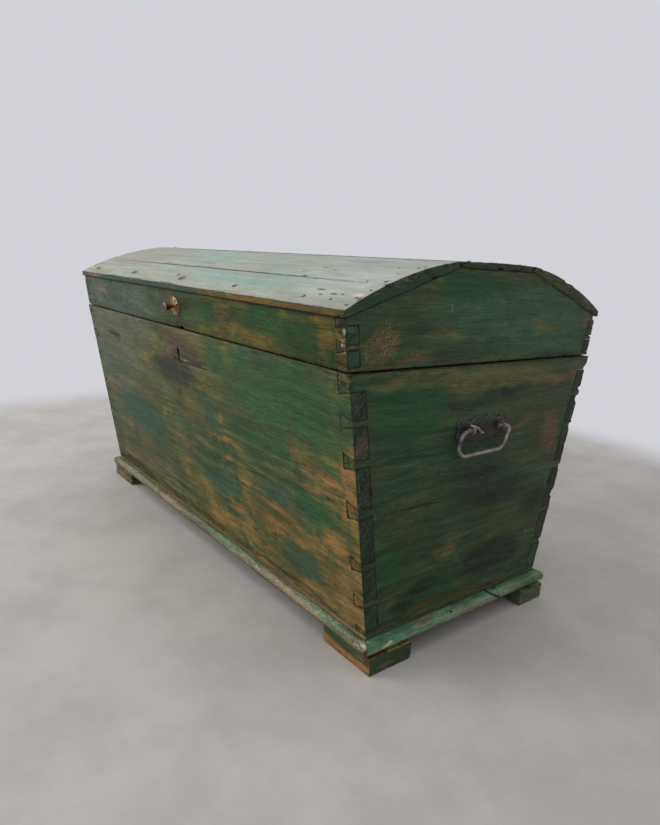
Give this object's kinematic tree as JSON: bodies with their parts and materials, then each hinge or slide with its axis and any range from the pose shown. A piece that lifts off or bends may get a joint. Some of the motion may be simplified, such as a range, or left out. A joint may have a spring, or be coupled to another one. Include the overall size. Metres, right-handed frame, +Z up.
{
  "type": "wooden trunk",
  "caption": "Low dome-lidded chest of dovetailed boards with flared sides, bullnose base, strap hinges, chest lock, lid knob and drop handles.",
  "frame": {"origin": "middle of the footprint at floor level, under the centre of the whole trunk's box", "axes": "+X along the length towards the right end seen from the front, -Y to the front with the keyhole and knob, +Z up"},
  "size_m": [1.1658, 0.6797, 0.6772],
  "materials": {
    "paint_green": "worn dark green oil paint on softwood",
    "paint_pale": "worn pale grey-green oil paint on softwood",
    "paint_moulding": "worn mid green oil paint on softwood",
    "bare_wood": "aged bare softwood",
    "iron": "dark wrought iron, rubbed on the edges",
    "nail_iron": "rusted forged iron",
    "brass": "old darkened brass"
  },
  "bodies": {
    "box": {"back_board": "paint_green", "base_moulding_back": "paint_moulding", "base_moulding_front": "paint_moulding", "base_moulding_left": "paint_moulding", "base_moulding_right_back": "paint_moulding", "base_moulding_right_front": "paint_moulding", "floor_board_back": "bare_wood", "floor_board_front": "bare_wood", "floor_board_middle": "bare_wood", "floor_nails": "nail_iron", "foot_back_left": "paint_green", "foot_back_right": "paint_green", "foot_front_left": "paint_green", "foot_front_right": "paint_green", "foot_nails": "nail_iron", "front_board": "paint_green", "hinge_box_nails": "iron", "left_end_board": "paint_green", "left_handle_eyes": "iron", "left_handle_nails": "iron", "left_handle_plate": "iron", "left_hinge_box_strap": "iron", "left_hinge_pin": "iron", "lock_case": "iron", "lock_nails": "iron", "lock_spring": "iron", "moulding_nails": "nail_iron", "right_end_board": "paint_green", "right_handle_eyes": "iron", "right_handle_nails": "iron", "right_handle_plate": "iron", "right_hinge_box_strap": "iron", "right_hinge_pin": "iron"},
    "lid": {"hinge_lid_nails": "iron", "keeper_nails": "iron", "knob": "brass", "knob_rosette": "brass", "left_hinge_lid_strap": "iron", "lid_back_rail": "paint_green", "lid_back_slope_board": "paint_pale", "lid_front_rail": "paint_green", "lid_front_slope_board": "paint_pale", "lid_keeper": "iron", "lid_left_end": "paint_green", "lid_nails": "nail_iron", "lid_right_end": "paint_green", "lid_top_board": "paint_pale", "right_hinge_lid_strap": "iron"},
    "left_bail": {"left_handle_bail": "iron"},
    "right_bail": {"right_handle_bail": "iron"},
    "bolt": {"lock_bolt": "iron"}
  },
  "joints": [
    {"name": "lid_hinge", "type": "hinge", "parent": "box", "child": "lid", "pos_m": [0, 0.33172, 0.5095], "axis": [-1, 0, 0], "range_deg": [0, 100]},
    {"name": "left_bail_swing", "type": "hinge", "parent": "box", "child": "left_bail", "pos_m": [-0.57431, 0.00897, 0.397], "axis": [0, 1, 0], "range_deg": [0, 115]},
    {"name": "right_bail_swing", "type": "hinge", "parent": "box", "child": "right_bail", "pos_m": [0.57431, 0.00897, 0.397], "axis": [0, -1, 0], "range_deg": [0, 115]},
    {"name": "lock_bolt_slide", "type": "slide", "parent": "box", "child": "bolt", "axis": [1, 0, 0], "range_m": [0, 0.014]}
  ]
}
